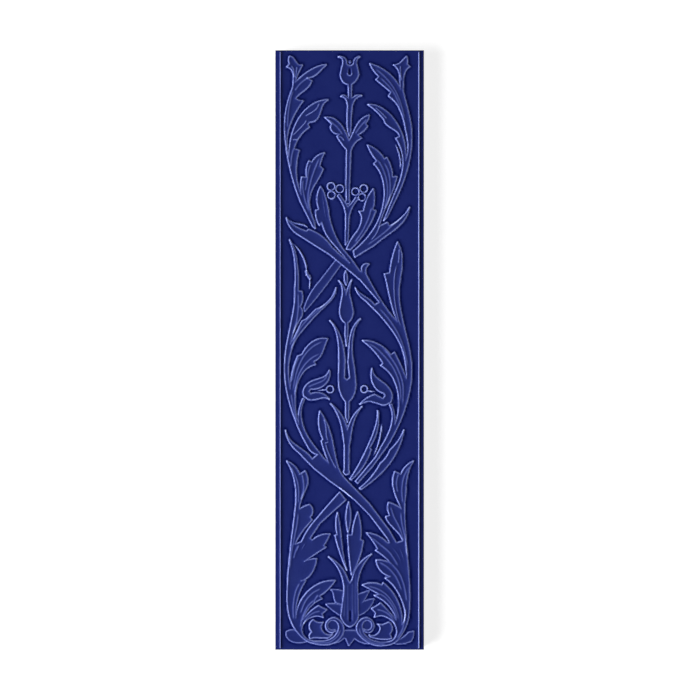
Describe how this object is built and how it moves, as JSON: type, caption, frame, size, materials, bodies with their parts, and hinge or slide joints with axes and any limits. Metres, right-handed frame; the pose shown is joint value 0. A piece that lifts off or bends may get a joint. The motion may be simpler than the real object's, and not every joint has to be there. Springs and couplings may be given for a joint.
{
  "type": "porcelain tile",
  "caption": "Tall narrow wall tile of glazed porcelain, with crossing leaf stems and tulips moulded in low relief, a bead along each long side and a keyed back.",
  "frame": {"origin": "middle of the back, on the plane of its lands", "axes": "+X across the tile, +Y up the ornament, +Z out of the glazed face; the tile lies on its back"},
  "size_m": [0.075, 0.3026, 0.0095],
  "materials": {
    "glaze": "glossy cobalt-blue glaze, pale where it is thin on the relief and dark where it pools"
  },
  "bodies": {
    "root": {"tile": "glaze"}
  },
  "joints": []
}
